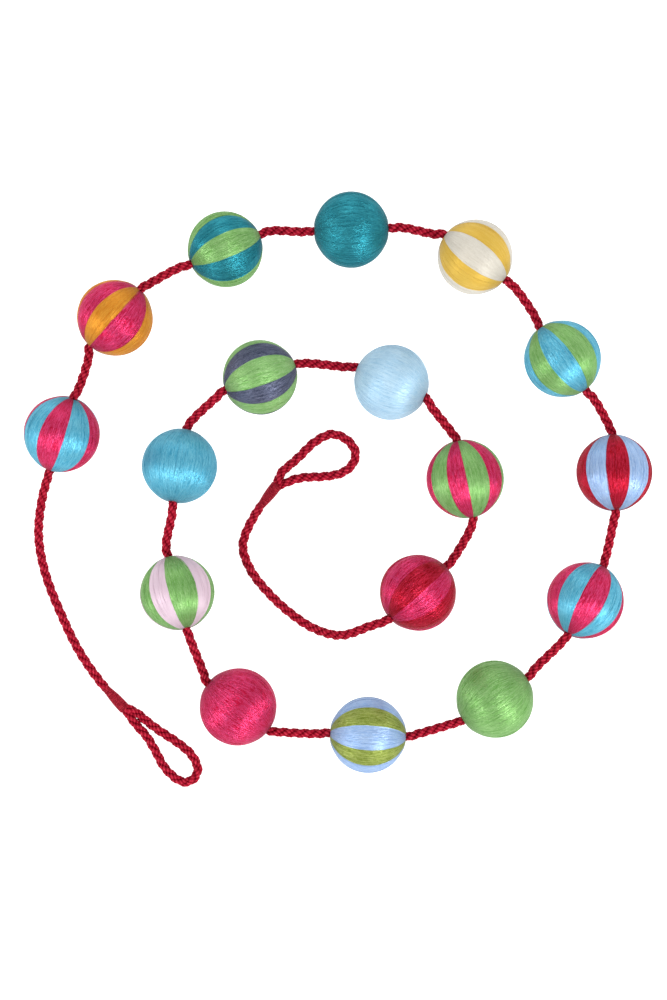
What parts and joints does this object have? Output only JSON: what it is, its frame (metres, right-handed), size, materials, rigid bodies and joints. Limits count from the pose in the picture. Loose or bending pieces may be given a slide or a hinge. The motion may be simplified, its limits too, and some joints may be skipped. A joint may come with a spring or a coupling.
{
  "type": "silk bauble garland",
  "caption": "Garland of silk-wound balls, striped and plain, strung on a twisted crimson cord with a whipped loop at each end, laid in a spiral.",
  "frame": {"origin": "on the surface that the garland lies on, under the middle of the baubles", "axes": "+Z up from the surface; +X to the right and +Y up as the spiral is seen from above, its outer end at the left"},
  "size_m": [0.4131, 0.3929, 0.0501],
  "materials": {
    "silk_magenta": "lustrous wound silk thread, magenta, in stripes with a second colour on some baubles",
    "silk_teal": "lustrous wound silk thread, dark teal",
    "silk_yellow": "lustrous wound silk thread, golden yellow striped with ivory",
    "silk_turquoise": "lustrous wound silk thread, turquoise",
    "silk_periwinkle": "lustrous wound silk thread, periwinkle, in stripes with a second colour",
    "silk_green": "lustrous wound silk thread, leaf green, in stripes with a second colour on some baubles",
    "silk_pale_blue": "lustrous wound silk thread, pale blue",
    "cord_crimson": "satin three-strand twisted cord, crimson",
    "whipping_crimson": "close turns of fine crimson thread"
  },
  "bodies": {
    "root": {"bauble_01": "silk_magenta", "bauble_02": "silk_magenta", "bauble_03": "silk_teal", "bauble_04": "silk_teal", "bauble_05": "silk_yellow", "bauble_06": "silk_turquoise", "bauble_07": "silk_periwinkle", "bauble_08": "silk_magenta", "bauble_09": "silk_green", "bauble_10": "silk_periwinkle", "bauble_11": "silk_magenta", "bauble_12": "silk_green", "bauble_13": "silk_turquoise", "bauble_14": "silk_green", "bauble_15": "silk_pale_blue", "bauble_16": "silk_green", "bauble_17": "silk_magenta", "cord": "cord_crimson", "whipping_outer": "whipping_crimson", "whipping_inner": "whipping_crimson"}
  },
  "joints": []
}
